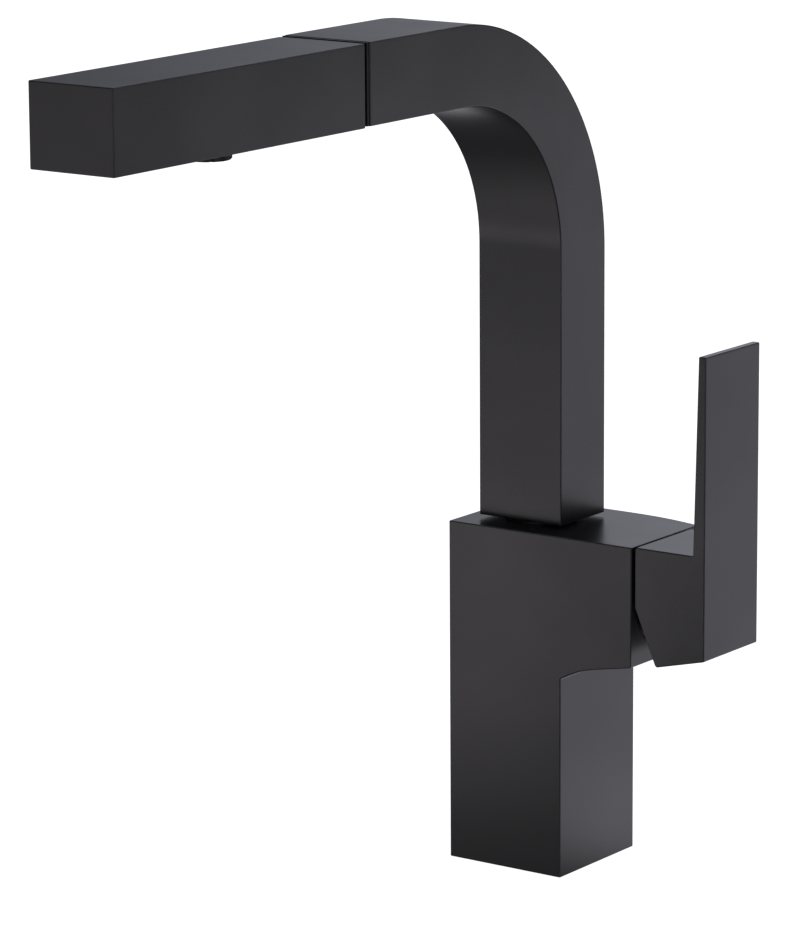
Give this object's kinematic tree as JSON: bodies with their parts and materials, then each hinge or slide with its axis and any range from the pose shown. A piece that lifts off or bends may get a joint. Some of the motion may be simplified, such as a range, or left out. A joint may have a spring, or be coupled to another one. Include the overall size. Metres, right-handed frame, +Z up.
{
  "type": "pull-out kitchen faucet",
  "caption": "Square pull-out kitchen mixer faucet: flag-shaped body, swivelling bent square spout, pull-out spray head on a hose, side lever on a ceramic cartridge.",
  "frame": {"origin": "centre of the body's underside, on the deck face that the faucet stands on", "axes": "+Z up, -Y along the spout towards the sink, +X towards the lever"},
  "size_m": [0.1115, 0.2953, 0.3236],
  "materials": {
    "black_coat": "satin black powder coat with a very fine texture",
    "black_plastic": "moulded, matte",
    "grey_plastic": "moulded acetal, matte",
    "white_plastic": "moulded, matte",
    "brass": "machined",
    "steel": "machined stainless steel",
    "ceramic": "lapped alumina ceramic",
    "rubber": "moulded EPDM",
    "braid": "woven nylon braid over a rubber hose"
  },
  "bodies": {
    "body": {"faucet_body": "black_coat", "base_seal": "rubber", "cartridge_base_seal": "rubber", "cartridge_housing": "white_plastic", "fixed_ceramic_disc": "ceramic", "cartridge_nut": "brass", "cartridge_cover": "black_coat", "swivel_spigot": "brass", "swivel_ring": "black_plastic", "spigot_clip": "steel"},
    "spout": {"spout_tube": "black_coat", "spout_bush": "grey_plastic", "swivel_stop_screw": "steel", "dock_collar": "black_plastic", "spray_hose": "braid"},
    "cartridge": {"cartridge_rotor": "white_plastic", "moving_ceramic_disc": "ceramic", "stem_pin": "steel"},
    "lever": {"lever_handle": "black_coat", "cartridge_stem": "steel", "lever_grub_screw": "steel", "lever_screw_plug": "black_plastic"},
    "spray_head": {"spray_shell": "black_coat", "spray_rear_cap": "black_plastic", "neck_o_ring": "rubber", "shell_screw": "steel", "hose_connector": "brass", "connector_washer": "rubber", "spray_waterway": "white_plastic", "check_valve": "grey_plastic", "aerator_housing": "black_plastic", "aerator_insert": "white_plastic", "aerator_washer": "rubber"}
  },
  "joints": [
    {"name": "spout_swivel", "type": "hinge", "parent": "body", "child": "spout", "pos_m": [0, 0, 0.1316], "axis": [0, 0, 1], "range_deg": [-60, 60]},
    {"name": "spray_pull_out", "type": "slide", "parent": "spout", "child": "spray_head", "axis": [0, -1, 0], "range_m": [0, 0.45]},
    {"name": "temperature_turn", "type": "hinge", "parent": "body", "child": "cartridge", "pos_m": [0.0485, -0.0056, 0.1073], "axis": [1, 0, 0], "range_deg": [-45, 45]},
    {"name": "flow_tilt", "type": "hinge", "parent": "cartridge", "child": "lever", "pos_m": [0.0485, -0.0056, 0.1073], "axis": [0, 1, 0], "range_deg": [0, 20]}
  ]
}
